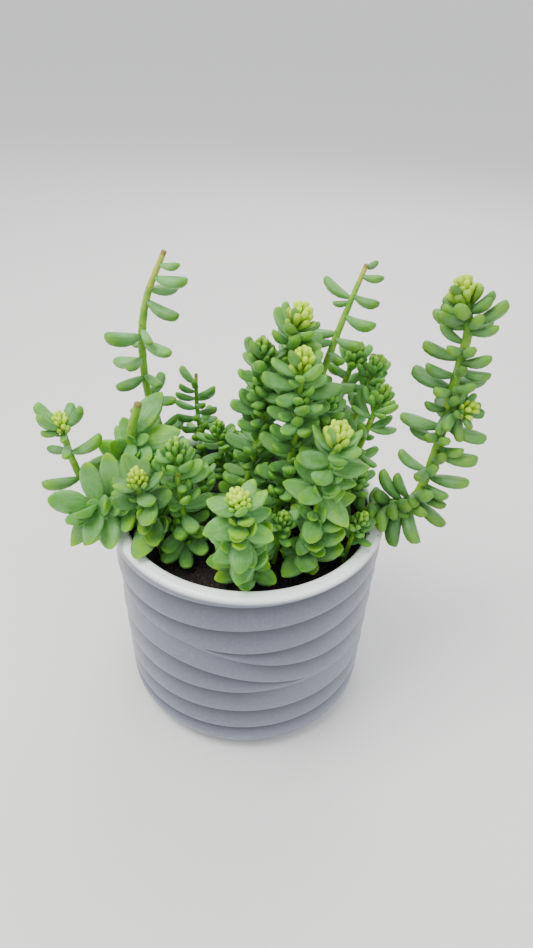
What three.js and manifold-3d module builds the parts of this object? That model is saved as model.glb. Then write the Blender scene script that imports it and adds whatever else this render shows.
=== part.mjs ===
import * as THREE from 'three';
import { mergeVertices } from 'three/addons/utils/BufferGeometryUtils.js';
import Module from 'manifold-3d';

// A burro's tail plant in a glazed pot with lapped ribs.
// Millimetres, Z up. The origin is on the floor under the middle of the pot, and -Y is the front.

const wasm = await Module();
wasm.setup();

// Pot
const potHeight = 110;
const rimRadius = 65;
const footRadius = 61.5;
const footCorner = 12;
const lipThickness = 7;
const lipRound = 2.6;
const potFloor = 6;
const innerFootRadius = 56.5;
const innerCorner = 2;
const ribDepth = 1.8;
const ribStep = 1.1;
const fullBand = 10;
const potSegments = 26;

// Grooves between the bands, lowest first: mean height, tilt to the front, tilt to the side, saddle.
// A groove with a split runs beside the one before or after it until the band between them opens,
// and closes on it again past the back.
const grooves = [
  { height: 18.2, front: 0.6, side: 1.6, saddle: 0 },
  { height: 30, front: 2.4, side: 2.2, saddle: 0 },
  { height: 44, front: 2.8, side: 2, saddle: 0 },
  { height: 45, front: 2.8, side: 2, saddle: 0, split: { turn: 39, way: -1, gap: 15 } },
  { height: 76.9, front: 0, side: 0.8, saddle: -2.9, split: { turn: -24, way: 1, gap: -16 } },
  { height: 77.9, front: 0, side: 0.8, saddle: -2.9 },
  { height: 90, front: 0, side: 4.3, saddle: 0 },
  { height: 104.2, front: 0.8, side: 2.6, saddle: 0 },
];
const splitRate = 1.1;
const splitCurve = 1.4;
const splitHold = 3.8;

// Soil
const soilTop = 98;
const soilWave = 0.5;
const fitGap = 0.3;
const soilSegments = potSegments / 2;
const rootDepth = 14;
const holeGap = 0.45;
const holeSides = 4;

// Leaves
// Width and thickness for the length, and how pointed the tip is
const plainLeaf = { plump: 0.45, flat: 0.72, tip: 0.38 };
const slimLeaf = { plump: 0.4, flat: 0.86, tip: 0.32 };
const wideLeaf = { plump: 0.54, flat: 0.6, tip: 0.62 };
const heartLeaf = { plump: 0.85, flat: 1, tip: 0.38 };
const leafSag = 0.28;
const leafBaseCurve = 0.62;
const leafCorner = 1.14;
const leafSides = 3;
const leafRings = [0, 0.3, 0.82, 1];
const youngRings = [0, 0.66, 1];
const heartLeaves = 7;
const heartSides = 5;
const heartShare = 0.58;
const heartSink = 5;
const stemSides = 5;
const goldenTurn = 137.5;
const tipPitch = 1.6;
const tipCrowd = 6;
const tipShare = 0.32;
const tipRise = 78;
const footBare = 5;
const turnSpread = 20;
const riseSpread = 14;
const lengthSpread = 0.14;

// Room kept between one plant and the next
const leafRoom = 0.9;
const wallRoom = 0.6;
const soilRoom = 1.1;
const ownRoom = 0.8;
const guardSteps = [0.1, 0.22, 0.36, 0.5, 0.64, 0.78, 0.92];
const guardAside = 0.48;
const guardEdge = 0.54;
const stemGuardPitch = 2;
const gentleBend = 22;
// A leaf that would touch tries these changes in turn: turn and rise in degrees, then its length
const tries = [
  [0, 0, 1], [18, 0, 1], [-18, 0, 1], [0, 18, 1], [0, -18, 1], [36, 10, 1],
  [-36, 10, 1], [0, 25, 0.8], [25, 5, 0.75], [-25, 5, 0.75], [0, 40, 0.6],
];

// Stems. A path starts on the soil, or on its parent stem where it has three numbers.
// A placed leaf: how far along the path's points, turn about the stem, length, rise.
const stems = [
  {
    node: 'stem_back_left_tall',
    shape: slimLeaf, radius: 1.9, leaf: 16, spacing: 8, rise: 5, tipLeaves: 0, sideFrom: 78,
    path: [[-35, 35], [-50, 38, 136], [-52.5, 36, 168], [-48.5, 33, 195], [-38.5, 30, 219]],
    placed: [
      [3.75, -30, 11, 35], [3.5, -25, 17, 30], [3.25, 40, 15, 5], [3.05, -30, 18, 5],
      [2.5, -60, 11, -10], [2.35, -135, 20, 15], [2.25, -30, 17, 0], [2.2, 135, 9, -30],
      [1.95, -110, 14, 5], [1.9, 155, 18, -20], [1.65, -50, 14, 0], [1.6, -130, 17, 5],
    ],
  },
  {
    node: 'stem_back_left_short',
    shape: slimLeaf, radius: 1.4, leaf: 12.5, spacing: 5, rise: 10, tipLeaves: 0, sideFrom: 30,
    path: [[-26, 47], [-27, 48, 112], [-29, 48, 132], [-29, 48, 152]],
    placed: [
      [2.7, 160, 12, 45], [2.4, -25, 13, 35], [2.3, -155, 12, 25], [2.15, -60, 10, 25],
      [1.75, -145, 13, 25], [1.6, 50, 13, -15],
    ],
  },
  {
    node: 'stem_left_edge',
    shape: slimLeaf, radius: 1.8, bend: 7, leaf: 13, spacing: 9, rise: 15, tipLeaves: 8, sideFrom: 44,
    path: [[-43, 3], [-60, 2, 116], [-76, 0, 117], [-82, 0, 132], [-84.5, 0, 153]],
    placed: [
      [3.75, -130, 15, 50], [3.75, 0, 15, 45], [3.7, 75, 14, 35], [3.8, 165, 15, 45], [3.65, -75, 9, 5],
      [3.15, -5, 19, 25], [2.35, -135, 19, 30], [2.55, 55, 17, -10], [3.2, 160, 12, 0],
    ],
  },
  {
    node: 'stem_left_front',
    shape: wideLeaf, radius: 1.8, bend: 9, leaf: 18, spacing: 3, rise: 10, tipLeaves: 0, sideFrom: 22,
    ownRoom: 0.7, facing: [-0.3, -0.75, 0.6],
    path: [[-42, -14], [-51, -17, 116], [-61, -20, 122], [-70, -22, 121]],
    placed: [
      [2.9, -25, 21, 45], [2.85, -60, 18, 15], [2.7, 5, 22, -10], [2.8, -105, 21, 10], [2.5, -105, 22, -5],
      [2.1, -85, 22, -35], [2.4, -135, 23, 25], [2, -125, 23, 5], [1.6, -120, 22, 10], [2.75, -145, 21, 45],
      [1.85, 35, 23, 15], [2.3, 80, 20, 20], [1.6, 150, 18, 10], [2.1, -155, 20, -20], [1.5, -80, 19, 0],
    ],
  },
  {
    node: 'stem_left_rosette',
    shape: wideLeaf, radius: 1.6, leaf: 17, bud: 0.75, spacing: 3.4, rise: 15, tipLeaves: 12, sideFrom: 13,
    facing: [-0.2, -0.7, 0.7],
    path: [[-38, -26], [-42, -27, 115], [-45, -29, 131], [-45.5, -31, 146]],
    placed: [
      [1.9, -65, 21, 20], [1.9, 130, 23, 50], [1.5, -115, 20, 40], [1.5, -70, 19, -5], [1.6, -140, 22, -15],
      [1.4, -115, 21, -10], [1.2, -120, 20, -5],
    ],
  },
  {
    node: 'stem_left_broken',
    shape: wideLeaf, radius: 2.8, leaf: 19, spacing: 4.4, rise: 5, tipLeaves: 0, sideFrom: 22,
    ownRoom: 0.75, facing: [-0.1, -0.7, 0.7],
    path: [[-47, 10], [-53, 8, 118], [-55, 6, 140], [-50, 5, 159]],
    placed: [
      [2.2, 50, 23, 45], [1.9, 5, 24, 15], [1.5, -140, 20, 55], [1.3, -35, 20, 25],
      [1.7, 120, 16, 70], [1.4, -170, 20, 45], [1.7, -50, 18, 15], [1.9, -110, 18, -5],
    ],
  },
  {
    node: 'stem_middle_left',
    radius: 1.6, leaf: 15, spacing: 4, rise: 15, tipLeaves: 12, sideFrom: 13,
    facing: [0, -0.45, 0.85],
    path: [[-28, -24], [-28, -24, 117], [-29.5, -22, 136], [-31, -20, 153]],
    placed: [
      [0.6, -120, 17, -20], [0.6, -50, 17, 0], [0.4, -80, 16, -12], [0.8, -130, 17, -5], [0.9, -45, 15, 10],
    ],
  },
  {
    node: 'stem_front',
    shape: wideLeaf, radius: 1.6, leaf: 17.5, bud: 0.75, spacing: 2.9, rise: 5, tipLeaves: 12, sideFrom: 13,
    facing: [0, -0.6, 0.8],
    path: [[1, -38], [1, -43, 114], [-1, -47, 132], [-2.5, -49, 151]],
    placed: [
      [0.75, -105, 18, 15], [0.9, -165, 18, 15], [0.9, -40, 18, 50], [1.5, 165, 18, 25], [1.5, 0, 18, 45],
      [0.4, -150, 16, 10],
    ],
  },
  {
    node: 'stem_front_right',
    shape: wideLeaf, radius: 1.7, leaf: 17, spacing: 3.4, rise: 15, tipLeaves: 12, sideFrom: 13,
    facing: [0, -0.5, 0.8],
    path: [[28, -34], [29, -31, 121], [33, -28, 145], [37, -25, 167]],
    placed: [
      [1.3, -100, 17, -15], [1.7, -45, 18, -20], [1.85, -130, 17, -5],
      [0.5, -85, 19, 5], [0.45, -130, 19, -12], [0.4, -65, 18, 20], [0.8, -35, 18, 30],
    ],
  },
  {
    node: 'stem_centre_tall',
    radius: 1.7, leaf: 16, spacing: 3.6, rise: 25, tipLeaves: 13, sideFrom: 14,
    facing: [0, -0.45, 0.85],
    path: [[-5, 2], [0, 5, 124], [6, 8, 150], [13, 10, 177], [20, 10, 202]],
  },
  {
    node: 'stem_centre_tall',
    radius: 1.3, leaf: 14, spacing: 3.6, rise: 30, tipLeaves: 11, sideFrom: 12,
    facing: [0, -0.45, 0.85],
    path: [[6, 8, 150], [4.5, 6, 162], [4, 5, 176], [4.5, 5, 189]],
  },
  {
    node: 'stem_centre',
    radius: 1.6, leaf: 15.5, spacing: 3.5, rise: 25, tipLeaves: 12, sideFrom: 13,
    facing: [0, -0.45, 0.85],
    path: [[10, -12], [16, -10, 126], [20, -8, 156], [21, -7, 191]],
    placed: [[2.45, -95, 12, 30], [2.1, -75, 14, 15]],
  },
  {
    node: 'stem_back_right_tall',
    shape: slimLeaf, radius: 1.7, leaf: 16, spacing: 6.5, rise: 10, tipLeaves: 0, sideFrom: 56,
    path: [[14, 18], [24, 20, 138], [31, 22, 165], [39, 25, 193], [47, 28, 217]],
    placed: [
      [3.95, 45, 8, 25], [3.8, -45, 11, 20], [3.4, 145, 16, 10], [3.45, -50, 14, 10],
      [3.35, 140, 9, -30], [3.1, -50, 17, 10], [2.8, 150, 15, -20], [2.65, -160, 14, -10],
      [2.7, -55, 16, 15], [2.5, -75, 14, 5],
    ],
  },
  {
    node: 'stem_right_tall',
    shape: slimLeaf, radius: 2.1, bend: 10, leaf: 17, bud: 0.85,
    spacing: 6, rise: 10, tipLeaves: 15, sideFrom: 112,
    path: [
      [44, -6], [60, -7, 116], [76, -8, 122], [82, -7, 147], [84, -5, 175], [86, -3, 202], [82, 0, 219],
    ],
    placed: [
      [4.95, 35, 14, 15], [4.8, 160, 13, 30], [4.65, -90, 12, 30], [4.55, 160, 17, 10],
      [4.5, -55, 15, 30], [4.2, 30, 18, 0], [4.3, -170, 15, 15], [4.1, 150, 19, 10],
      [4.1, -70, 14, 30], [3.75, -155, 13, 20], [3.5, -25, 19, -5], [3.45, 165, 19, 5],
      [3.2, 140, 15, 5], [3, -35, 19, 15], [2.65, 155, 16, 15], [2.55, -25, 19, 15],
      [2.2, -50, 15, 15], [2.05, -35, 19, 0], [3.6, 90, 16, 10], [1.9, 170, 15, 10],
      [1.7, -60, 22, -20], [1.9, -60, 21, -15], [1.4, -75, 21, -15], [1.4, -145, 17, -25],
      [5.1, -80, 13, 35], [4.35, -100, 13, 30], [1.6, -110, 18, -10], [2.1, -100, 17, 40],
      [1.7, 165, 19, -20], [2.55, -95, 13, 55], [1.2, -110, 16, -5],
      [3.3, -95, 13, 20], [2.85, -90, 14, 25], [3.9, -95, 12, 30],
    ],
  },
  {
    node: 'stem_right_tall',
    shape: slimLeaf, radius: 1.2, leaf: 10, spacing: 3, rise: 20, tipLeaves: 12, sideFrom: 13,
    path: [[84, -5, 168], [88, -9, 169], [91, -13, 173]],
    placed: [[1.3, -60, 9, 25], [1.3, 15, 9, 25], [1.3, 90, 9, 25], [1.3, 165, 9, 25], [1.3, -130, 9, 25]],
  },
  {
    node: 'stem_back_right_a',
    radius: 1.6, leaf: 14.5, spacing: 6.5, rise: 20, tipLeaves: 12, sideFrom: 13,
    path: [[38, 30], [46, 33, 124], [54, 35, 148], [58.5, 35, 168]],
  },
  {
    node: 'stem_back_right_b',
    radius: 1.6, leaf: 14.5, spacing: 6, rise: 20, tipLeaves: 12, sideFrom: 13,
    path: [[42, 14], [49, 16, 120], [55, 18, 142], [60.5, 20, 161]],
  },
  {
    node: 'stem_back_right_c',
    radius: 1.6, leaf: 14.5, spacing: 7, rise: 20, tipLeaves: 12, sideFrom: 13,
    path: [[26, 38], [36, 40, 130], [44, 41, 152], [49, 40, 172]],
  },
  {
    node: 'stem_centre_right',
    radius: 1.6, leaf: 15, spacing: 3.7, rise: 25, tipLeaves: 12, sideFrom: 13,
    facing: [0, -0.45, 0.85],
    path: [[24, 4], [28, 5, 122], [32, 6, 146], [34, 5, 167]],
  },
  {
    node: 'stem_centre_left',
    radius: 1.4, leaf: 12.5, spacing: 4, rise: 15, tipLeaves: 11, sideFrom: 12,
    facing: [0, -0.45, 0.85],
    path: [[-12, 20], [-13, 21, 112], [-15, 21, 126], [-16, 20, 139]],
  },
];

// Young shoots between the stems: place on the soil and height
const shoots = [
  [-16, -4, 36], [-4, -22, 28], [-2, 36, 28], [45, -26, 28],
  [13, -29, 32], [41, -8, 40], [-27, 8, 32], [3, 22, 36],
];
const shootLean = 0.22;
const shootStem = { radius: 1.2, leaf: 12, spacing: 5.5, rise: 20, tipLeaves: 10, sideFrom: 11 };
shoots.forEach(([x, y, height], index) => {
  const lean = shootLean * height / Math.hypot(x, y);
  const tip = [x * (1 + lean), y * (1 + lean), soilTop + height];
  const half = [x * (1 + lean / 3), y * (1 + lean / 3), soilTop + height / 2];
  stems.push({ node: `shoot_${index + 1}`, ...shootStem, path: [[x, y], half, tip] });
});

// Colours and finishes
const glaze = new THREE.MeshStandardMaterial({ color: 0xb4bcc4, roughness: 0.32 });
const earth = new THREE.MeshStandardMaterial({ color: 0x2b221c, roughness: 0.95 });
const leafGreens = [0x86ad74, 0x8fb57c, 0x7da46d];

// Half-width along a leaf, as a share of its widest
function leafSwell(t, tip) {
  const widest = leafBaseCurve / (leafBaseCurve + tip);
  return t ** leafBaseCurve * (1 - t) ** tip / (widest ** leafBaseCurve * (1 - widest) ** tip);
}

// Random draws that come out the same each time
function drawsFrom(seed) {
  let state = seed;
  return () => {
    state = (state * 16807) % 2147483647;
    return (state / 2147483647) * 2 - 1;
  };
}

function solidOf(geometry) {
  const bare = geometry.clone();
  bare.deleteAttribute('normal');
  bare.deleteAttribute('uv');
  const merged = mergeVertices(bare, 1e-4);
  return new wasm.Manifold(new wasm.Mesh({
    numProp: 3,
    vertProperties: new Float32Array(merged.attributes.position.array),
    triVerts: new Uint32Array(merged.index.array),
  }));
}

function meshOf(solid, name, material) {
  const { vertProperties, triVerts } = solid.getMesh();
  const geometry = new THREE.BufferGeometry();
  geometry.setAttribute('position', new THREE.BufferAttribute(vertProperties, 3));
  geometry.setIndex(new THREE.BufferAttribute(triVerts, 1));
  geometry.computeVertexNormals();
  const mesh = new THREE.Mesh(geometry, material);
  mesh.name = name;
  return mesh;
}

// Pot

function grooveHeight(groove, turn) {
  const { height, front, side, saddle, split } = groove;
  const level = height + front * Math.cos(turn) + side * Math.sin(turn) + saddle * Math.cos(2 * turn);
  if (!split) {
    return level;
  }
  const turned = split.way * (turn - THREE.MathUtils.degToRad(split.turn));
  const past = THREE.MathUtils.euclideanModulo(turned, 2 * Math.PI);
  const quarter = Math.PI / 2;
  const opening = Math.sin(Math.min(quarter, splitRate * past)) ** splitCurve;
  const closing = Math.cos(THREE.MathUtils.clamp(splitRate * (past - splitHold), 0, quarter));
  return level + split.gap * opening * closing;
}

function wallRadius(z) {
  return footRadius + (rimRadius - footRadius) * z / potHeight;
}

// The pot's section at one turn: up the outside over each groove, over the lip and down inside
function potSection(turn) {
  const section = [[0, 0]];
  for (const angle of [90, 60, 30, 0]) {
    const bend = THREE.MathUtils.degToRad(angle);
    const reach = wallRadius(footCorner) - footCorner + footCorner * Math.cos(bend);
    section.push([reach, footCorner - footCorner * Math.sin(bend)]);
  }
  const heights = grooves.map((groove) => grooveHeight(groove, turn));
  heights.forEach((height, index) => {
    const bandTop = heights[index + 1] ?? potHeight + fullBand;
    const open = Math.min(1, (bandTop - height) / fullBand);
    section.push([wallRadius(height) - ribDepth, height - ribStep]);
    section.push([wallRadius(height) - ribDepth * (1 - open), height + ribStep]);
  });
  const lipBase = potHeight - lipRound;
  for (const angle of [0, 45, 90]) {
    const bend = THREE.MathUtils.degToRad(angle);
    section.push([rimRadius - lipRound + lipRound * Math.cos(bend), lipBase + lipRound * Math.sin(bend)]);
  }
  const innerRadius = rimRadius - lipThickness;
  for (const angle of [45, 0]) {
    const bend = THREE.MathUtils.degToRad(angle);
    section.push([innerRadius + lipRound - lipRound * Math.cos(bend), lipBase + lipRound * Math.sin(bend)]);
  }
  section.push([innerFootRadius, potFloor + innerCorner]);
  section.push([innerFootRadius - innerCorner, potFloor]);
  section.push([0, potFloor]);
  return section;
}

// A turned solid whose section may change with the turn
function turnedSolid(sectionAt, segments) {
  const outline = sectionAt(0).map(([radius, z]) => new THREE.Vector2(radius, z));
  const geometry = new THREE.LatheGeometry(outline, segments);
  geometry.rotateX(Math.PI / 2);
  const position = geometry.attributes.position;
  for (let segment = 0; segment <= segments; segment += 1) {
    const turn = (segment % segments) / segments * 2 * Math.PI;
    sectionAt(turn).forEach(([radius, z], row) => {
      const index = segment * outline.length + row;
      position.setXYZ(index, radius * Math.sin(turn), -radius * Math.cos(turn), z);
    });
  }
  return solidOf(geometry);
}

function makePot() {
  return turnedSolid(potSection, potSegments);
}

// Soil

function soilSection(turn) {
  const innerRadius = rimRadius - lipThickness;
  const slope = (innerRadius - innerFootRadius) / (potHeight - lipRound - potFloor - innerCorner);
  const edge = innerFootRadius + slope * (soilTop - potFloor - innerCorner) - fitGap;
  const wave = (reach) => soilTop + soilWave * Math.sin(3 * turn + reach) * Math.sin(reach / 9);
  return [
    [0, potFloor + fitGap],
    [innerFootRadius - innerCorner - fitGap, potFloor + fitGap],
    [innerFootRadius - fitGap, potFloor + innerCorner + fitGap],
    [edge, soilTop - 1],
    [edge - 6, wave(50)],
    [34, wave(34)],
    [16, wave(16)],
    [0, soilTop],
  ];
}

function makeSoil() {
  let soil = turnedSolid(soilSection, soilSegments);
  for (const stem of stems) {
    if (stem.path[0].length === 3) {
      continue;
    }
    const radius = (stem.radius + holeGap) / Math.cos(Math.PI / holeSides);
    const depth = rootDepth + fitGap;
    const hole = new THREE.CylinderGeometry(radius, radius, depth + 5, holeSides);
    hole.rotateX(Math.PI / 2);
    hole.translate(stem.path[0][0], stem.path[0][1], soilTop - depth + (depth + 5) / 2);
    soil = soil.subtract(solidOf(hole));
  }
  return soil;
}

// Stems

function stemCurve(stem) {
  const points = stem.path.map(([x, y, z]) => new THREE.Vector3(x, y, z ?? soilTop + 1));
  return new THREE.CatmullRomCurve3(points, false, 'catmullrom', 0.5);
}

// The stem's points and how far each lies from the tip
function stemRuler(curve) {
  const steps = 200;
  const points = curve.getPoints(steps);
  const fromTip = new Array(steps + 1).fill(0);
  for (let index = steps - 1; index >= 0; index -= 1) {
    fromTip[index] = fromTip[index + 1] + points[index].distanceTo(points[index + 1]);
  }
  return { steps, fromTip, length: fromTip[0] };
}

// Where on the curve a point lies that is this far from the tip
function shareAt(ruler, distance) {
  let index = ruler.steps;
  while (index > 0 && ruler.fromTip[index] < distance) {
    index -= 1;
  }
  return index / ruler.steps;
}

function stemSolid(stem) {
  const curve = stemCurve(stem);
  const ring = new THREE.Shape();
  for (let corner = 0; corner < stemSides; corner += 1) {
    const turn = corner / stemSides * 2 * Math.PI;
    const x = stem.radius * Math.cos(turn);
    const y = stem.radius * Math.sin(turn);
    corner === 0 ? ring.moveTo(x, y) : ring.lineTo(x, y);
  }
  const steps = Math.round(stemRuler(curve).length / (stem.bend ?? gentleBend));
  const tube = new THREE.ExtrudeGeometry(ring, { steps, extrudePath: curve, bevelEnabled: false });
  const solid = solidOf(tube);
  if (stem.path[0].length === 3) {
    return solid;
  }
  const root = new THREE.CylinderGeometry(stem.radius, stem.radius, rootDepth + 2, stemSides);
  root.rotateX(Math.PI / 2);
  root.translate(stem.path[0][0], stem.path[0][1], soilTop - rootDepth / 2 + 1);
  return solid.add(solidOf(root));
}

// Leaves

// A leaf's frame: out along its length, its upper side, and across.
// The grown leaves of a stem with a facing turn their upper sides that way, to the light.
function leafFrame({ curve, facing }, share, turn, rise, young) {
  const root = curve.getPoint(share);
  const ahead = curve.getPoint(Math.min(1, share + 0.01));
  const up = ahead.sub(curve.getPoint(Math.max(0, share - 0.01))).normalize();
  const right = new THREE.Vector3(0, 1, 0).cross(up).normalize();
  const away = up.clone().cross(right);
  const turned = THREE.MathUtils.degToRad(turn);
  const raised = THREE.MathUtils.degToRad(rise);
  const out = right.multiplyScalar(Math.cos(turned)).addScaledVector(away, Math.sin(turned));
  const along = out.clone().multiplyScalar(Math.cos(raised)).addScaledVector(up, Math.sin(raised));
  const upper = up.clone().multiplyScalar(Math.cos(raised)).addScaledVector(out, -Math.sin(raised));
  if (facing && !young) {
    upper.set(...facing).projectOnPlane(along).normalize();
  }
  return { root, along, upper, across: along.clone().cross(upper) };
}

// How far a leaf's middle hangs below the straight line from its root to its tip
function leafDrop(leaf, t) {
  return leaf.sag * leaf.length * (t - t * t);
}

function leafSolid(leaf) {
  const { length, frame } = leaf;
  const girth = leaf.girth * leafCorner;
  const halfWidth = (t) => (t % 1 === 0 ? 0 : girth * leafSwell(t, leaf.tip));
  const outline = leaf.rings.map((t) => new THREE.Vector2(halfWidth(t), t * length));
  const geometry = new THREE.LatheGeometry(outline, leaf.sides);
  geometry.rotateY(Math.PI);
  geometry.scale(1, 1, leaf.flat);
  const position = geometry.attributes.position;
  for (let index = 0; index < position.count; index += 1) {
    position.setZ(index, position.getZ(index) - leafDrop(leaf, position.getY(index) / length));
  }
  const place = new THREE.Matrix4().makeBasis(frame.across, frame.along, frame.upper);
  place.setPosition(frame.root);
  geometry.applyMatrix4(place);
  return solidOf(geometry);
}

// Balls that stand for the leaves and stems while room is looked for: on a leaf three at each step
const guards = [];

function leafGuards(leaf, node) {
  const { root, along, upper, across } = leaf.frame;
  const rows = [[0, leaf.flat], [guardAside, guardEdge], [-guardAside, guardEdge]];
  return guardSteps.flatMap((t) => rows.map(([aside, thick]) => {
    const half = leaf.girth * leafSwell(t, leaf.tip);
    const at = root.clone().addScaledVector(along, t * leaf.length);
    at.addScaledVector(upper, -leafDrop(leaf, t)).addScaledVector(across, aside * half);
    return { node, outer: t >= 0.5, at, radius: thick * half };
  }));
}

function clearOfPot({ at, radius }) {
  const reach = Math.hypot(at.x, at.y);
  const innerRadius = rimRadius - lipThickness;
  const beside = Math.max(0, innerRadius - reach, reach - rimRadius);
  const above = Math.max(0, at.z - potHeight);
  if (Math.hypot(beside, above) < radius + wallRoom) {
    return false;
  }
  return reach > innerRadius || at.z - soilTop > radius + soilRoom;
}

function hasRoom(leaf, stem, young) {
  const middle = leaf.frame.root.clone().addScaledVector(leaf.frame.along, leaf.length / 2);
  const near = guards.filter((other) => other.at.distanceTo(middle) < leaf.length + other.radius);
  return leafGuards(leaf, stem.node).every((guard) => {
    if (!clearOfPot(guard)) {
      return false;
    }
    const own = stem.ownRoom ?? ownRoom;
    return near.every((other) => {
      const reach = guard.radius + other.radius;
      if (other.node !== stem.node) {
        return guard.at.distanceTo(other.at) >= reach + leafRoom;
      }
      return young || !guard.outer || !other.outer || guard.at.distanceTo(other.at) >= reach * own;
    });
  });
}

// Grows a leaf where it has room, and leaves it out where it has none
function growLeaf(stem, share, turn, length, rise, young) {
  for (const [moreTurn, moreRise, lengthShare] of tries) {
    const frame = leafFrame(stem, share, turn + moreTurn, Math.min(tipRise, rise + moreRise), young);
    const leaf = { ...(stem.shape ?? plainLeaf), frame, sag: leafSag, sides: leafSides };
    leaf.length = length * lengthShare;
    leaf.girth = leaf.length * leaf.plump / 2;
    leaf.rings = young ? youngRings : leafRings;
    if (hasRoom(leaf, stem, young)) {
      stem.leaves.push(leaf);
      guards.push(...leafGuards(leaf, stem.node));
      return;
    }
  }
}

// The tip's smallest leaves together, as one upright bud
function growHeart(stem) {
  const frame = leafFrame(stem, shareAt(stem.ruler, heartSink), 0, tipRise, true);
  const leaf = { ...heartLeaf, frame, rings: youngRings, sag: 0, sides: heartSides };
  leaf.length = stem.leaf * heartShare * (stem.bud ?? 1);
  leaf.girth = leaf.length * leaf.plump / 2;
  stem.leaves.push(leaf);
  guards.push(...leafGuards(leaf, stem.node));
}

// The leaf of this number from the tip: crowded and upright at the tip, then spaced down the stem
function growByRule(stem, number) {
  const young = number < stem.tipLeaves;
  if (young && number < heartLeaves) {
    return;
  }
  const fromTip = young
    ? tipPitch * number ** 2 / (number + tipCrowd)
    : stem.sideFrom + stem.spacing * (number - stem.tipLeaves);
  const turn = goldenTurn * number + turnSpread * stem.draw();
  const ripe = young ? number / stem.tipLeaves : 1;
  const length = stem.leaf * (tipShare + (1 - tipShare) * ripe) * (1 + lengthSpread * stem.draw());
  const rise = tipRise + (stem.rise - tipRise) * ripe + riseSpread * stem.draw();
  if (fromTip < stem.ruler.length - footBare) {
    growLeaf(stem, shareAt(stem.ruler, fromTip), turn, length, rise, young);
  }
}

function growAll() {
  stems.forEach((stem, index) => {
    stem.curve = stemCurve(stem);
    stem.ruler = stemRuler(stem.curve);
    stem.draw = drawsFrom(101 + 37 * index);
    stem.leaves = [];
    const balls = Math.round(stem.ruler.length / stemGuardPitch);
    for (let ball = 0; ball <= balls; ball += 1) {
      const at = stem.curve.getPoint(ball / balls);
      guards.push({ node: stem.node, outer: false, at, radius: stem.radius });
    }
  });
  stems.filter((stem) => stem.tipLeaves > 0).forEach(growHeart);
  for (const stem of stems) {
    for (const [along, turn, length, rise] of stem.placed ?? []) {
      growLeaf(stem, along / (stem.path.length - 1), turn, length, rise, false);
    }
  }
  const mostLeaves = 50;
  for (let number = 0; number < mostLeaves; number += 1) {
    for (const stem of stems) {
      growByRule(stem, number);
    }
  }
}

// Assembly

const group = new THREE.Group();
group.name = 'potted_burros_tail';
group.add(meshOf(makePot(), 'pot', glaze));
group.add(meshOf(makeSoil(), 'soil', earth));

growAll();
const nodes = [...new Set(stems.map((stem) => stem.node))];
nodes.forEach((node, index) => {
  let plant = null;
  for (const stem of stems.filter((each) => each.node === node)) {
    plant = plant ? plant.add(stemSolid(stem)) : stemSolid(stem);
    for (const leaf of stem.leaves) {
      plant = plant.add(leafSolid(leaf));
    }
  }
  const color = leafGreens[index % leafGreens.length];
  group.add(meshOf(plant, node, new THREE.MeshStandardMaterial({ color, roughness: 0.6 })));
});

export default group;
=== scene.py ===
import bpy
import numpy as np
from mathutils import Matrix


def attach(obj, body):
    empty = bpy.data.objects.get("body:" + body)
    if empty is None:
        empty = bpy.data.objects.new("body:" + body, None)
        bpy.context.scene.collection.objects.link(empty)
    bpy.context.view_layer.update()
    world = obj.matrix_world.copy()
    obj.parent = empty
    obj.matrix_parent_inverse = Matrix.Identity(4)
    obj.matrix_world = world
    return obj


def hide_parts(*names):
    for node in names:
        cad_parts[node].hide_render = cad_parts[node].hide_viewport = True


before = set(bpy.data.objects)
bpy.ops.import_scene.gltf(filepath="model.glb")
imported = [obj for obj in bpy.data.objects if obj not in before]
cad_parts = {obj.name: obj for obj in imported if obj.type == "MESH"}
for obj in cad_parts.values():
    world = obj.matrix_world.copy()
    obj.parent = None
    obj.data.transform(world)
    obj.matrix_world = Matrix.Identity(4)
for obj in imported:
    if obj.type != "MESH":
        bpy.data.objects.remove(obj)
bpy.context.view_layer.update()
mm = 0.001


# camera and room

view = dict(focal=26.0, sensor=36.0, distance=328.5, lift=36.0, roll=2.1, right=8.6, up=13.1, lookAt=110.0,
            clip=(0.01, 200.0))


def cameraAxes():
    # a camera that looks down by the lift angle, then rolled about its own line of sight
    lift, roll = np.radians(view["lift"]), np.radians(view["roll"])
    back = np.array([0, -np.cos(lift), np.sin(lift)])
    right0 = np.array([1.0, 0, 0])
    up0 = np.cross(back, right0)
    right = np.cos(roll) * right0 + np.sin(roll) * up0
    up = -np.sin(roll) * right0 + np.cos(roll) * up0
    return right, up, back


def put(name, data, right, up, back, place):
    # an object on these axes at a place in metres
    thing = bpy.data.objects.new(name, data)
    matrix = np.eye(4)
    matrix[:3] = np.stack([right, up, back, place], axis=1)
    thing.matrix_world = Matrix(matrix.tolist())
    bpy.context.collection.objects.link(thing)
    return thing


def addCamera():
    right, up, back = cameraAxes()
    place = np.array([0, 0, view["lookAt"]]) + back * view["distance"] + right * view["right"] + up * view["up"]
    data = bpy.data.cameras.new("camera")
    data.lens, data.sensor_width = view["focal"], view["sensor"]
    data.clip_start, data.clip_end = view["clip"]
    bpy.context.scene.camera = put("camera", data, right, up, back, place * mm)


room = dict(
    world=(0.95, 0.97, 1.0), worldStrength=1.08, floorHalf=60.0,
    lamps=[
        # name, place, aim, width, watts, colour
        ("key", (-0.42, -0.2, 1.05), (0, 0, 0.12), 0.6, 12.5, (1.0, 0.99, 0.95)),
        ("fill", (0.75, -0.55, 0.55), (0, 0, 0.12), 0.9, 2.5, (0.95, 0.98, 1.0)),
        ("rear", (0.2, 0.8, 0.8), (0, 0, 0.15), 0.8, 6, (1.0, 1.0, 1.0)),
    ],
    floor=(0.80, 0.79, 0.77), floorRough=0.6,
)


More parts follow.
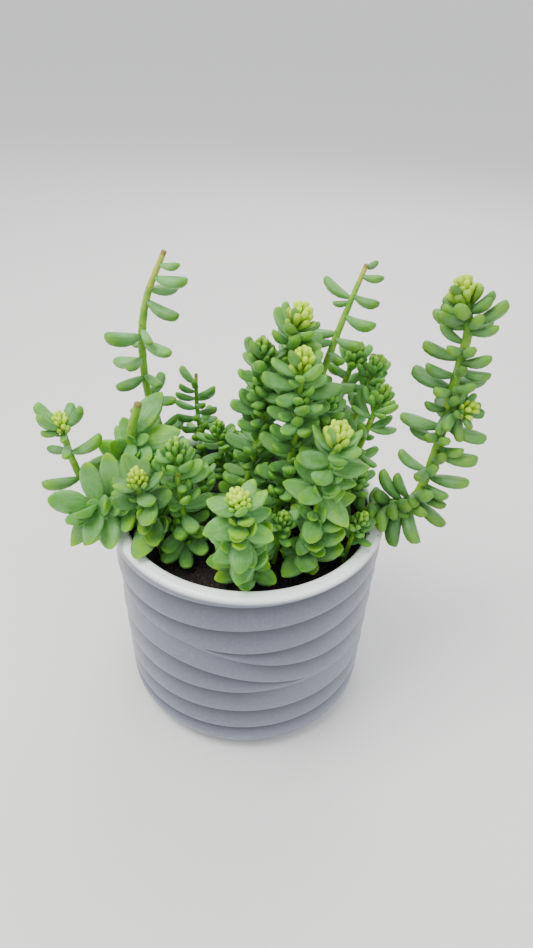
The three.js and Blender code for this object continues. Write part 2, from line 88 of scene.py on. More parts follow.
def addLamp(name, place, aim, width, watts, colour):
    data = bpy.data.lights.new(name, "AREA")
    data.size, data.energy, data.color = width, watts, colour
    back = np.array(place, float) - np.array(aim, float)
    back /= np.linalg.norm(back)
    right = np.cross([0, 0, 1.0], back)
    right /= np.linalg.norm(right)
    put(name, data, right, np.cross(back, right), back, place)


def addRoom():
    world = bpy.data.worlds.new("studio")
    world.use_nodes = True
    world.node_tree.nodes["Background"].inputs[0].default_value = (*room["world"], 1)
    world.node_tree.nodes["Background"].inputs[1].default_value = room["worldStrength"]
    bpy.context.scene.world = world
    for lamp in room["lamps"]:
        addLamp(*lamp)
    half = room["floorHalf"]
    mesh = bpy.data.meshes.new("floor")
    corners = [(-half, -half, 0), (half, -half, 0), (half, half, 0), (-half, half, 0)]
    mesh.from_pydata(corners, [], [(0, 1, 2, 3)])
    floor = bpy.data.objects.new("floor", mesh)
    bpy.context.collection.objects.link(floor)
    n = Nodes("paleFloor")
    n.set("Base Color", (*room["floor"], 1))
    n.set("Roughness", room["floorRough"])
    mesh.materials.append(n.material)


# material helpers

def linear(colour, lift=0):
    # screen colour 0 to 255, made paler by the lift, to the shader's linear colour
    c = (np.array(colour) + lift) / 255
    return (*np.where(c <= 0.04045, c / 12.92, ((c + 0.055) / 1.055) ** 2.4).tolist(), 1.0)


class Nodes:
    # a new material, and short hands for wiring it
    def __init__(self, name):
        self.material = bpy.data.materials.new(name)
        self.material.use_nodes = True
        self.tree = self.material.node_tree
        self.shader = self.tree.nodes["Principled BSDF"]

    def add(self, kind, inputs=(), **values):
        # a node with these values, and its inputs wired or set
        node = self.tree.nodes.new(kind)
        for key, value in values.items():
            setattr(node, key, value)
        for socket, value in dict(inputs).items():
            self.link(value, node.inputs[socket])
        return node

    def link(self, output, target):
        if hasattr(output, "is_linked"):
            self.tree.links.new(output, target)
        else:
            target.default_value = output

    def set(self, socket, value):
        self.link(value, self.shader.inputs[socket])

    def objectPoint(self):
        return self.add("ShaderNodeTexCoord").outputs["Object"]

    def noise(self, scale, detail, rough=0.55, where=None):
        inputs = {"Vector": where or self.objectPoint(), "Scale": scale, "Detail": detail, "Roughness": rough}
        return self.add("ShaderNodeTexNoise", inputs).outputs["Fac"]

    def cells(self, scale):
        return self.add("ShaderNodeTexVoronoi", {"Vector": self.objectPoint(), "Scale": scale}).outputs["Distance"]

    def span(self, value, low, high, toLow=0.0, toHigh=1.0, way="SMOOTHSTEP"):
        inputs = {"Value": value, "From Min": low, "From Max": high, "To Min": toLow, "To Max": toHigh}
        return self.add("ShaderNodeMapRange", inputs, interpolation_type=way).outputs["Result"]

    def math(self, operation, a, b=0.0, clamp=False):
        return self.add("ShaderNodeMath", {0: a, 1: b}, operation=operation, use_clamp=clamp).outputs[0]

    def times(self, a, b):
        return self.math("MULTIPLY", a, b)

    def plus(self, a, b, clamp=False):
        return self.math("ADD", a, b, clamp)

    def mix(self, share, a, b, blend="MIX"):
        return self.add("ShaderNodeMix", {0: share, 6: a, 7: b}, data_type="RGBA", blend_type=blend).outputs[2]

    def attribute(self, name):
        node = self.add("ShaderNodeAttribute", attribute_name=name)
        return *self.add("ShaderNodeSeparateColor", {0: node.outputs["Color"]}).outputs, node.outputs["Alpha"]

    def bump(self, height, distance, strength, under=None):
        inputs = {"Height": height, "Distance": distance, "Strength": strength}
        if under is not None:
            inputs["Normal"] = under
        return self.add("ShaderNodeBump", inputs).outputs["Normal"]


# mesh helpers

def turns(count):
    return np.arange(count) / count * 2 * np.pi


def around(middle, right, front, x, y):
    # points at x to the right and y to the front of each middle
    return middle[..., None, :] + right[..., None, :] * x[..., None] + front[..., None, :] * y[..., None]


def closedGrid(rows, columns, flip=False):
    # quads between neighbouring rings of a grid, and triangles that close its first and last ring to the two
    # points that follow it
    row, column = np.meshgrid(np.arange(rows - 1), np.arange(columns), indexing="ij")
    after = (column + 1) % columns
    quads = np.stack([row * columns + column, row * columns + after, (row + 1) * columns + after,
                      (row + 1) * columns + column], -1).reshape(-1, 4)
    column, after, last = column[0], after[0], (rows - 1) * columns
    pole = np.full(columns, rows * columns)
    tris = np.concatenate([np.stack([pole, after, column], -1),
                           np.stack([pole + 1, last + column, last + after], -1)])
    return (quads[:, ::-1], tris[:, [0, 2, 1]]) if flip else (quads, tris)


def meshPiece(name, points, quads, tris, materials, slots=None, **data):
    # whole arrays into one mesh: points in millimetres, quads, then triangles, and four values a point by name
    corners = np.concatenate([quads.ravel(), tris.ravel()])
    sizes = np.concatenate([np.full(len(quads), 4), np.full(len(tris), 3)])
    mesh = bpy.data.meshes.new(name)
    mesh.vertices.add(len(points))
    mesh.vertices.foreach_set("co", (np.asarray(points) * mm).astype(np.float32).ravel())
    mesh.loops.add(len(corners))
    mesh.loops.foreach_set("vertex_index", corners.astype(np.int32))
    mesh.polygons.add(len(sizes))
    mesh.polygons.foreach_set("loop_start", np.concatenate([[0], np.cumsum(sizes)[:-1]]).astype(np.int32))
    mesh.polygons.foreach_set("use_smooth", np.ones(len(sizes), bool))
    for material in materials:
        mesh.materials.append(material)
    if slots is not None:
        mesh.polygons.foreach_set("material_index", slots.astype(np.int32))
    for key, values in data.items():
        layer = mesh.attributes.new(key, "FLOAT_COLOR", "POINT")
        layer.data.foreach_set("color", np.asarray(values, np.float32).ravel())
    mesh.update(calc_edges=True)
    mesh.validate()
    piece = bpy.data.objects.new(name, mesh)
    bpy.context.collection.objects.link(piece)
    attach(piece, "root")
    return piece


# pot

pot = dict(
    height=110.0, rimRadius=65.0, footRadius=61.5, footCorner=12.0, lipThickness=7.0, lipRound=2.6, floor=6.0,
    innerFootRadius=56.5, innerCorner=2.0, ribDepth=1.8, ribStep=1.1, fullBand=10.0, segments=256, splitRate=1.1,
    splitCurve=1.4, splitHold=3.8, bandCurve=1.7, poolAndShadeCurve=1.5,
    # where the rings lie: shares of the way under the foot, up a band, through a groove and over the floor inside,
    # and how many there are round a corner and down the inside
    footRings=(0.15, 0.4, 0.65, 0.85), bandRings=(0.12, 0.25, 0.4, 0.55, 0.7, 0.82, 0.92, 0.97),
    grooveRings=(0.3, 0.6, 0.85), floorRings=(1.0, 0.6, 0.25), cornerRings=9, wallRings=10,
    # grooves, lowest first: mean height, tilt to the front, tilt to the side, saddle, split (turn, way, gap)
    grooves=[
        (18.2, 0.6, 1.6, 0.0, None), (30.0, 2.4, 2.2, 0.0, None), (44.0, 2.8, 2.0, 0.0, None),
        (45.0, 2.8, 2.0, 0.0, (39, -1, 15)), (76.9, 0.0, 0.8, -2.9, (-24, 1, -16)),
        (77.9, 0.0, 0.8, -2.9, None), (90.0, 0.0, 4.3, 0.0, None), (104.2, 0.8, 2.6, 0.0, None),
    ],
)
innerRim = pot["rimRadius"] - pot["lipThickness"]


def grooveHeight(groove, turn):
    # mean height plus a tilted and saddled ring, and a split that opens as a sine and closes again past the back
    height, front, side, saddle, split = groove
    level = height + front * np.cos(turn) + side * np.sin(turn) + saddle * np.cos(2 * turn)
    if split is None:
        return level
    turned = split[1] * (turn - np.radians(split[0]))
    past = np.mod(turned, 2 * np.pi)
    opening = np.sin(np.minimum(np.pi / 2, pot["splitRate"] * past)) ** pot["splitCurve"]
    closing = np.cos(np.clip(pot["splitRate"] * (past - pot["splitHold"]), 0, np.pi / 2))
    return level + split[2] * opening * closing


def wallRadius(z):
    return pot["footRadius"] + (pot["rimRadius"] - pot["footRadius"]) * z / pot["height"]


def potRows(turn):
    # the pot's outside and inside as rows of radius, height and darkening by pooled glaze and painted shade, each
    # with the turn or fixed
    rows = []
    corner, lip, band = pot["footCorner"], pot["lipRound"], pot["fullBand"]
    depth, step = pot["ribDepth"], pot["ribStep"]
    reach = wallRadius(corner) - corner
    for share in pot["footRings"]:
        rows.append((reach * share, 0, 0))
    for bend in np.radians(np.linspace(90, 0, pot["cornerRings"])):
        rows.append((reach + corner * np.cos(bend), corner * (1 - np.sin(bend)), 0))
    # below each groove the wall has drawn in by the rib's depth, and at its sharp edge stands out again
    heights = [grooveHeight(groove, turn) for groove in pot["grooves"]]
    below = (wallRadius(corner), corner)
    for height, bandTop in zip(heights, heights[1:] + [pot["height"] + band]):
        opened = np.minimum(1, (bandTop - height) / band)
        foot = (wallRadius(height) - depth, height - step)
        edge = (wallRadius(height) - depth * (1 - opened), height + step)
        for share in pot["bandRings"]:
            # the band leans in slowly at first and faster near the groove
            lean = share ** pot["bandCurve"]
            # darker up the band to its top, under the next edge: pooled glaze, and painted shade under the overhang
            rows.append((below[0] + (foot[0] - below[0]) * lean, below[1] + (foot[1] - below[1]) * share,
                         share ** pot["poolAndShadeCurve"] * opened))
        rows.append((*foot, opened))
        for share in pot["grooveRings"]:
            soft = share * share * (3 - 2 * share)
            rows.append((foot[0] + (edge[0] - foot[0]) * soft, foot[1] + (edge[1] - foot[1]) * share,
                         (1 - share) * opened))
        rows.append((*edge, 0))
        below = edge
    # over the lip, down the inside and across its floor
    base = pot["height"] - lip
    for side, way, bends in ((pot["rimRadius"], -1, (0, 90)), (innerRim, 1, (90, 0))):
        for bend in np.radians(np.linspace(*bends, pot["cornerRings"])):
            rows.append((side + way * lip * (1 - np.cos(bend)), base + lip * np.sin(bend), 0))
    for share in np.linspace(0.1, 1, pot["wallRings"]):
        rows.append((innerRim + (pot["innerFootRadius"] - innerRim) * share,
                     base + (pot["floor"] + pot["innerCorner"] - base) * share, 0))
    for share in pot["floorRings"]:
        rows.append(((pot["innerFootRadius"] - pot["innerCorner"]) * share, pot["floor"], 0))
    return rows


def makePot():
    # a turned grid: every row is a ring whose radius and height may change with the turn
    turn = turns(pot["segments"])
    rows = potRows(turn)
    radius, z, poolAndShade = (np.array([row[k] * np.ones_like(turn) for row in rows]) for k in range(3))
    ring = np.stack([radius * np.sin(turn), -radius * np.cos(turn), z], -1).reshape(-1, 3)
    points = np.concatenate([ring, [[0, 0, 0], [0, 0, pot["floor"]]]])
    poolAndShade = np.append(poolAndShade, [0, 0])
    piece = meshPiece("glazedPot", points, *closedGrid(len(rows), pot["segments"]), [potGlaze()],
                      glazeData=np.repeat(poolAndShade[:, None], 4, axis=1))
    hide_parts("pot")


glaze = dict(
    # the dark colour and its share stand for pooled glaze and painted shade under each band's overhang
    body=(102, 108, 125), cloudLift=6, freckleLift=16, poolAndShade=(44, 49, 64), poolAndShadeShare=0.9, lip=(250, 255, 254),
    speck=(70, 66, 60), crumb=(46, 40, 30), rough=0.34, coat=0.35, coatRough=0.12,
    # heights in metres where the white lip begins and is full, and where the crumbs lie: from x, to x, below y
    lipFrom=0.1068, lipTo=0.1096, crumbPlace=(0.034, 0.040, -0.015),
    # the hairline lies on a x + b y = c, with a wobble and a half-width
    hairline=(0.695, -0.72, 0.01437), wobble=0.0008, hairWidth=0.00022,
)


def potGlaze():
    n = Nodes("satinGlaze")
    x, y, height = n.add("ShaderNodeSeparateXYZ", {0: n.objectPoint()}).outputs
    body = n.mix(n.span(n.noise(14, 4), 0.35, 0.7), linear(glaze["body"]), linear(glaze["body"], glaze["cloudLift"]))
    # fine paler freckles
    freckle = n.times(n.span(n.noise(620, 2), 0.48, 0.62), 0.4)
    body = n.mix(freckle, body, linear(glaze["body"], glaze["freckleLift"]))
    # darker towards the top of each band: glaze pooled under the next edge, and painted shade under its overhang
    poolAndShade = n.attribute("glazeData")[0]
    body = n.mix(n.times(poolAndShade, glaze["poolAndShadeShare"]), body, linear(glaze["poolAndShade"]))
    lipShare = n.span(height, glaze["lipFrom"], glaze["lipTo"])
    colour = n.mix(lipShare, body, linear(glaze["lip"]))
    specks = n.span(n.cells(420), 0.09, 0.05)
    rare = n.span(n.noise(60, 2), 0.60, 0.66)
    colour = n.mix(n.times(specks, rare), colour, linear(glaze["speck"]))
    # a few dark crumbs of soil on the lip at the right
    fromX, toX, belowY = glaze["crumbPlace"]
    crumbs = n.times(n.span(n.cells(380), 0.27, 0.18), n.span(n.noise(110, 2), 0.5, 0.56))
    crumbs = n.times(crumbs, n.times(lipShare, n.span(x, fromX, toX)))
    crumbs = n.times(crumbs, n.math("LESS_THAN", y, belowY))
    colour = n.mix(crumbs, colour, linear(glaze["crumb"]))
    # a hairline across the lip at the front left
    a, b, c = glaze["hairline"]
    off = n.plus(n.plus(n.times(x, a), n.times(y, b)), n.times(n.noise(160, 2), glaze["wobble"]))
    off = n.math("ABSOLUTE", n.math("SUBTRACT", off, c + glaze["wobble"] / 2))
    crack = n.times(n.span(off, glaze["hairWidth"], 0.00006), n.span(height, 0.1062, 0.1072))
    crack = n.times(crack, n.math("LESS_THAN", x, 0.0))
    colour = n.mix(n.times(crack, 0.45), colour, linear(glaze["speck"]))
    n.set("Base Color", colour)
    n.set("Roughness", n.span(n.noise(90, 3), 0.3, 0.7, glaze["rough"] - 0.05, glaze["rough"] + 0.07))
    n.set("Coat Weight", glaze["coat"])
    n.set("Coat Roughness", glaze["coatRough"])
    n.set("Normal", n.bump(n.noise(220, 3), 0.00025, 0.35, n.bump(n.noise(28, 2), 0.0012, 0.25)))
    return n.material


# soil

soil = dict(
    top=98.0, gap=0.3, rings=46, ringCurve=0.8, segments=150, sideDrop=12, seed=5,
    # lumps: how many waves, from which to which rate a millimetre, their gain, height and share
    waves=26, rates=(0.05, 0.6), gain=2.5, lump=1.3, lumpShare=0.6,
    # the darkest colour is painted shade in the gaps between crumbs
    dark=(30, 22, 17), pale=(66, 50, 38), gapShade=(20, 14, 11), rough=0.92,
)


def soilHeight(x, y):
    # the top plus a sum of plane waves at random angles and lengths
    draw = np.random.default_rng(soil["seed"])
    angle, phase = draw.uniform(0, 2 * np.pi, (2, soil["waves"]))
    low, high = soil["rates"]
    rate = np.exp(draw.uniform(np.log(low), np.log(high), soil["waves"]))
    weight = rate ** -0.5
    wave = np.sin(rate * (x[..., None] * np.cos(angle) + y[..., None] * np.sin(angle)) + phase)
    noise = (wave * weight).sum(-1) / weight.sum() * soil["gain"]
    return soil["top"] + soil["lump"] * noise * soil["lumpShare"]


def makeSoil():
    # rings from the middle outwards with a lumpy height, then down the side and closed underneath
    base = pot["height"] - pot["lipRound"]
    slope = (innerRim - pot["innerFootRadius"]) / (base - pot["floor"] - pot["innerCorner"])
    edge = pot["innerFootRadius"] + slope * (soil["top"] - pot["floor"] - pot["innerCorner"]) - soil["gap"]
    low, foot = pot["floor"] + soil["gap"], pot["innerFootRadius"] - soil["gap"]
    side = np.array([(edge, soil["top"] - soil["sideDrop"]), (foot, low + pot["innerCorner"]),
                     (foot - pot["innerCorner"], low), (foot / 2, low)])
    reach = np.linspace(0, 1, soil["rings"] + 1)[1:] ** soil["ringCurve"] * edge
    reach = np.concatenate([reach, side[:, 0]])[:, None]
    turn = turns(soil["segments"])
    x, y = reach * np.sin(turn), -reach * np.cos(turn)
    z = np.concatenate([soilHeight(x[:soil["rings"]], y[:soil["rings"]]),
                        np.repeat(side[:, 1:], soil["segments"], axis=1)])
    middle = soilHeight(np.zeros(1), np.zeros(1))[0]
    points = np.concatenate([np.stack([x, y, z], -1).reshape(-1, 3), [[0, 0, middle], [0, 0, low]]])
    piece = meshPiece("pottingMix", points, *closedGrid(len(x), soil["segments"], flip=True), [earth()])
    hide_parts("soil")


def earth():
    n = Nodes("darkPottingMix")
    crumbs = n.cells(650)
    fine = n.noise(900, 4)
    colour = n.mix(n.span(n.noise(160, 3), 0.35, 0.7), linear(soil["dark"]), linear(soil["pale"]))
    # painted shade in the gaps between the crumbs
    colour = n.mix(n.span(crumbs, 0.2, 0.7), colour, linear(soil["gapShade"]))
    n.set("Base Color", colour)
    n.set("Roughness", soil["rough"])
    n.set("Normal", n.bump(fine, 0.0006, 0.8, n.bump(crumbs, 0.0015, 0.9)))
    return n.material


# plant: the same rule as the solids, grown again here with finer leaves

# leaf shapes: girth to length, thickness to girth, how pointed the tip is, how far the section is a lens
plain = dict(plump=0.45, flat=0.72, tip=0.38, section=0.4)
slim = dict(plump=0.4, flat=0.86, tip=0.32, section=0.15)
wide = dict(plump=0.54, flat=0.6, tip=0.62, section=0.8)
core = dict(plump=0.85, flat=1, tip=0.38, section=0)
# growth: the turn between leaves, how they crowd and rise at the tip, the heart's room, spreads and seeds of draws
leafForm = dict(
    sag=0.28, baseCurve=0.62, goldenTurn=137.5, tipPitch=1.6, tipCrowd=6, tipShare=0.32, tipRise=78.0, footBare=5.0,
    heart=7, heartShare=0.58, heartSink=5.0, turnSpread=20, riseSpread=14, lengthSpread=0.14, most=50,
    seed=101, seedStep=37,
)
# the balls that stand for a leaf: how far along, how far aside and the size of those at the edges, and the room
# that is kept between them and other stems, the pot's wall and the soil
guardForm = dict(
    most=40000, along=np.array([0.1, 0.22, 0.36, 0.5, 0.64, 0.78, 0.92]), aside=np.array([0, 0.48, -0.48]),
    edge=0.54, outerFrom=0.5, stemPitch=2.0, leafRoom=0.9, wallRoom=0.6, soilRoom=1.1,
)
# what is tried until a leaf has room: more turn, more rise, share of the length
tries = [
    (0, 0, 1), (18, 0, 1), (-18, 0, 1), (0, 18, 1), (0, -18, 1), (36, 10, 1),
    (-36, 10, 1), (0, 25, 0.8), (25, 5, 0.75), (-25, 5, 0.75), (0, 40, 0.6),
]
toLight = (0, -0.45, 0.85)
# a stem's values: radius, leaf length, bud (the tip's size), spacing and rise of the spaced leaves and where they
# start, crowded tip leaves, tone (brightness), lime (yellow-green tips), dry (at a broken end), beads (small leaves
# in the heart), facing (where the upper sides turn), ownRoom (between its leaves), frontFrom (where those on the lit
# side start), path from the soil, and leaves placed one by one: where along the path's points, turn, length, rise.
# Those in more are in this scene alone
usual = dict(shape=plain, radius=1.6, bud=1, tipLeaves=12, sideFrom=13, tone=0.51, lime=0.4, dry=0, greenHeart=False,
             beadSize=1, facing=None, ownRoom=0.8, frontFrom=12, placed=[], more=[])
stems = [
    dict(node="stem_back_left_tall", shape=slim, radius=1.9, leaf=16, spacing=8, rise=5, tipLeaves=0, sideFrom=78,
         dry=1,
         path=[(-35, 35), (-50, 38, 136), (-52.5, 36, 168), (-48.5, 33, 195), (-38.5, 30, 219)],
         placed=[(3.75, -30, 11, 35), (3.5, -25, 17, 30), (3.25, 40, 15, 5), (3.05, -30, 18, 5), (2.5, -60, 11, -10),
             (2.35, -135, 20, 15), (2.25, -30, 17, 0), (2.2, 135, 9, -30), (1.95, -110, 14, 5), (1.9, 155, 18, -20),
             (1.65, -50, 14, 0), (1.6, -130, 17, 5)]),
    dict(node="stem_back_left_short", shape=slim, radius=1.4, leaf=12.5, spacing=5, rise=10, tipLeaves=0,
         sideFrom=30, tone=0.53, lime=0.55, dry=0.5,
         path=[(-26, 47), (-27, 48, 112), (-29, 48, 132), (-29, 48, 152)],
         placed=[(2.7, 160, 12, 45), (2.4, -25, 13, 35), (2.3, -155, 12, 25), (2.15, -60, 10, 25),
             (1.75, -145, 13, 25), (1.6, 50, 13, -15)],
         more=[(2.6, -95, 9, 50), (2.5, -160, 10, 30), (2.25, 20, 11, 25), (2, 175, 12, 20), (1.9, -20, 12, 20),
             (1.85, -90, 11, 20), (1.5, -60, 12, 15), (1.45, -170, 12, 15), (1.3, -100, 12, 20)]),
    dict(node="stem_left_edge", shape=slim, radius=1.8, leaf=13, spacing=9, rise=15, tipLeaves=8, sideFrom=44,
         lime=0.6,
         path=[(-43, 3), (-60, 2, 116), (-76, 0, 117), (-82, 0, 132), (-84.5, 0, 153)],
         placed=[(3.75, -130, 15, 50), (3.75, 0, 15, 45), (3.7, 75, 14, 35), (3.8, 165, 15, 45), (3.65, -75, 9, 5),
             (3.15, -5, 19, 25), (2.35, -135, 19, 30), (2.55, 55, 17, -10), (3.2, 160, 12, 0)]),
    dict(node="stem_left_front", shape=wide, radius=1.8, leaf=18, spacing=3, rise=10, tipLeaves=0, sideFrom=22,
         tone=0.55, lime=1, dry=0.2, facing=(-0.3, -0.75, 0.6), ownRoom=0.7, frontFrom=2,
         path=[(-42, -14), (-51, -17, 116), (-61, -20, 122), (-70, -22, 121)],
         placed=[(2.9, -25, 21, 45), (2.85, -60, 18, 15), (2.7, 5, 22, -10), (2.8, -105, 21, 10),
             (2.5, -105, 22, -5), (2.1, -85, 22, -35), (2.4, -135, 23, 25), (2, -125, 23, 5), (1.6, -120, 22, 10),
             (2.75, -145, 21, 45), (1.85, 35, 23, 15), (2.3, 80, 20, 20), (1.6, 150, 18, 10), (2.1, -155, 20, -20),
             (1.5, -80, 19, 0)],
         more=[(2.95, -80, 15, 40), (2.6, -60, 18, -20), (2.2, -60, 18, -20), (1.8, -100, 18, -30),
             (1.5, -125, 18, -20), (2.9, 170, 17, 40), (2.5, 160, 17, 30), (2.2, -175, 17, 20), (1.7, -30, 16, 20),
             (1.2, -90, 17, -10)]),
    dict(node="stem_left_rosette", shape=wide, leaf=17, bud=0.75, spacing=3.4, rise=15, tone=0.44, lime=0.9,
         facing=(-0.2, -0.7, 0.7),
         path=[(-38, -26), (-42, -27, 115), (-45, -29, 131), (-45.5, -31, 146)],
         placed=[(1.9, -65, 21, 20), (1.9, 130, 23, 50), (1.5, -115, 20, 40), (1.5, -70, 19, -5),
             (1.6, -140, 22, -15), (1.4, -115, 21, -10), (1.2, -120, 20, -5)]),
    dict(node="stem_left_broken", shape=wide, radius=2.8, leaf=19, spacing=4.4, rise=5, tipLeaves=0, sideFrom=22,
         tone=0.67, lime=0.7, dry=0.1, facing=(-0.1, -0.7, 0.7), ownRoom=0.75, frontFrom=26,
         path=[(-47, 10), (-53, 8, 118), (-55, 6, 140), (-50, 5, 159)],
         placed=[(2.2, 50, 23, 45), (1.9, 5, 24, 15), (1.5, -140, 20, 55), (1.3, -35, 20, 25), (1.7, 120, 16, 70),
             (1.4, -170, 20, 45), (1.7, -50, 18, 15), (1.9, -110, 18, -5)]),
    dict(node="stem_middle_left", leaf=15, spacing=4, rise=15, tone=0.55, greenHeart=True, facing=toLight,
         path=[(-28, -24), (-28, -24, 117), (-29.5, -22, 136), (-31, -20, 153)],
         placed=[(0.6, -120, 17, -20), (0.6, -50, 17, 0), (0.4, -80, 16, -12), (0.8, -130, 17, -5),
             (0.9, -45, 15, 10)]),
    dict(node="stem_front", shape=wide, leaf=17.5, bud=0.75, spacing=2.9, rise=5, tone=0.62, lime=1,
         facing=(0, -0.6, 0.8),
         path=[(1, -38), (1, -43, 114), (-1, -47, 132), (-2.5, -49, 151)],
         placed=[(0.75, -105, 18, 15), (0.9, -165, 18, 15), (0.9, -40, 18, 50), (1.5, 165, 18, 25), (1.5, 0, 18, 45),
             (0.4, -150, 16, 10)]),
    dict(node="stem_front_right", shape=wide, radius=1.7, leaf=17, spacing=3.4, rise=15, lime=0.7, beads=22,
         facing=(0, -0.5, 0.8),
         path=[(28, -34), (29, -31, 121), (33, -28, 145), (37, -25, 167)],
         placed=[(1.3, -100, 17, -15), (1.7, -45, 18, -20), (1.85, -130, 17, -5), (0.5, -85, 19, 5),
             (0.45, -130, 19, -12), (0.4, -65, 18, 20), (0.8, -35, 18, 30)]),
    dict(node="stem_centre_tall", radius=1.7, leaf=16, spacing=3.6, rise=25, tipLeaves=13, sideFrom=14, beads=20,
         facing=toLight,
         path=[(-5, 2), (0, 5, 124), (6, 8, 150), (13, 10, 177), (20, 10, 202)]),
    dict(node="stem_centre_tall", radius=1.3, leaf=14, spacing=3.6, rise=30, tipLeaves=11, sideFrom=12,
         greenHeart=True, facing=toLight,
         path=[(6, 8, 150), (4.5, 6, 162), (4, 5, 176), (4.5, 5, 189)]),
    dict(node="stem_centre", leaf=15.5, spacing=3.5, rise=25, beads=20, facing=toLight,
         path=[(10, -12), (16, -10, 126), (20, -8, 156), (21, -7, 191)],
         placed=[(2.45, -95, 12, 30), (2.1, -75, 14, 15)]),
    dict(node="stem_back_right_tall", shape=slim, radius=1.7, leaf=16, spacing=6.5, rise=10, tipLeaves=0,
         sideFrom=56, tone=0.42, dry=0.6,
         path=[(14, 18), (24, 20, 138), (31, 22, 165), (39, 25, 193), (47, 28, 217)],
         placed=[(3.95, 45, 8, 25), (3.8, -45, 11, 20), (3.4, 145, 16, 10), (3.45, -50, 14, 10), (3.35, 140, 9, -30),
             (3.1, -50, 17, 10), (2.8, 150, 15, -20), (2.65, -160, 14, -10), (2.7, -55, 16, 15), (2.5, -75, 14, 5)]),
    dict(node="stem_right_tall", shape=slim, radius=2.1, leaf=17, bud=0.85, spacing=6, rise=10, tipLeaves=15,
         sideFrom=112, tone=0.4, lime=0.6, beadSize=1.18,
         path=[(44, -6), (60, -7, 116), (76, -8, 122), (82, -7, 147), (84, -5, 175), (86, -3, 202), (82, 0, 219)],
         placed=[(4.95, 35, 14, 15), (4.8, 160, 13, 30), (4.65, -90, 12, 30), (4.55, 160, 17, 10),
             (4.5, -55, 15, 30), (4.2, 30, 18, 0), (4.3, -170, 15, 15), (4.1, 150, 19, 10), (4.1, -70, 14, 30),
             (3.75, -155, 13, 20), (3.5, -25, 19, -5), (3.45, 165, 19, 5), (3.2, 140, 15, 5), (3, -35, 19, 15),
             (2.65, 155, 16, 15), (2.55, -25, 19, 15), (2.2, -50, 15, 15), (2.05, -35, 19, 0), (3.6, 90, 16, 10),
             (1.9, 170, 15, 10), (1.7, -60, 22, -20), (1.9, -60, 21, -15), (1.4, -75, 21, -15), (1.4, -145, 17, -25),
             (5.1, -80, 13, 35), (4.35, -100, 13, 30), (1.6, -110, 18, -10), (2.1, -100, 17, 40),
             (1.7, 165, 19, -20), (2.55, -95, 13, 55), (1.2, -110, 16, -5), (3.3, -95, 13, 20), (2.85, -90, 14, 25),
             (3.9, -95, 12, 30)],
         more=[(5.5, -40, 12, 25), (5.3, -130, 12, 25), (5, -40, 13, 20), (4.7, -135, 13, 15), (4.4, -40, 14, 10),
             (4.05, -135, 14, 15), (3.75, -50, 14, 10), (3.35, -130, 14, 10), (3.1, -55, 14, 5), (2.7, -125, 15, 5),
             (2.4, -60, 15, -5), (2.1, -115, 15, 10), (1.85, -95, 16, 25), (1.6, -120, 16, 15), (1.3, -75, 16, 20),
             (1.15, -110, 16, 25)]),
    dict(node="stem_right_tall", shape=slim, radius=1.2, leaf=10, spacing=3, rise=20, tone=0.4, lime=0.6, beads=14,
         beadSize=1.3,
         path=[(84, -5, 168), (88, -9, 169), (91, -13, 173)],
         placed=[(1.3, -60, 9, 25), (1.3, 15, 9, 25), (1.3, 90, 9, 25), (1.3, 165, 9, 25), (1.3, -130, 9, 25)],
         more=[(0.9, -95, 13, 10), (0.9, -20, 13, 10), (0.8, -165, 13, 10), (1, 60, 12, 20), (1.1, 130, 12, 20),
             (0.5, -60, 13, 0), (0.5, 20, 13, 0)]),
    dict(node="stem_back_right_a", leaf=14.5, spacing=6.5, rise=20, tone=0.57, greenHeart=True,
         path=[(38, 30), (46, 33, 124), (54, 35, 148), (58.5, 35, 168)]),
    dict(node="stem_back_right_b", leaf=14.5, spacing=6, rise=20, tone=0.57, greenHeart=True,
         path=[(42, 14), (49, 16, 120), (55, 18, 142), (60.5, 20, 161)]),
    dict(node="stem_back_right_c", leaf=14.5, spacing=7, rise=20, tone=0.57, greenHeart=True,
         path=[(26, 38), (36, 40, 130), (44, 41, 152), (49, 40, 172)]),
    dict(node="stem_centre_right", leaf=15, spacing=3.7, rise=25, greenHeart=True, facing=toLight,
         path=[(24, 4), (28, 5, 122), (32, 6, 146), (34, 5, 167)]),
    dict(node="stem_centre_left", radius=1.4, leaf=12.5, spacing=4, rise=15, tipLeaves=11, sideFrom=12, tone=0.55,
         greenHeart=True, facing=toLight,
         path=[(-12, 20), (-13, 21, 112), (-15, 21, 126), (-16, 20, 139)]),
]

# young shoots: place on the soil and height, each leaning outwards
shoots = [(-16, -4, 36), (-4, -22, 28), (-2, 36, 28), (45, -26, 28), (13, -29, 32), (41, -8, 40), (-27, 8, 32),
          (3, 22, 36)]
shoot = dict(radius=1.2, leaf=12, spacing=5.5, rise=20, tipLeaves=10, sideFrom=11, greenHeart=True)
shootLean = 0.22
for number, (x, y, height) in enumerate(shoots, 1):
    lean = shootLean * height / np.hypot(x, y)
    stems.append(dict(node=f"shoot_{number}", **shoot, path=[
        (x, y), (x * (1 + lean / 3), y * (1 + lean / 3), soil["top"] + height / 2),
        (x * (1 + lean), y * (1 + lean), soil["top"] + height)]))
stems = [{**usual, **stem} for stem in stems]


curveSteps = 200


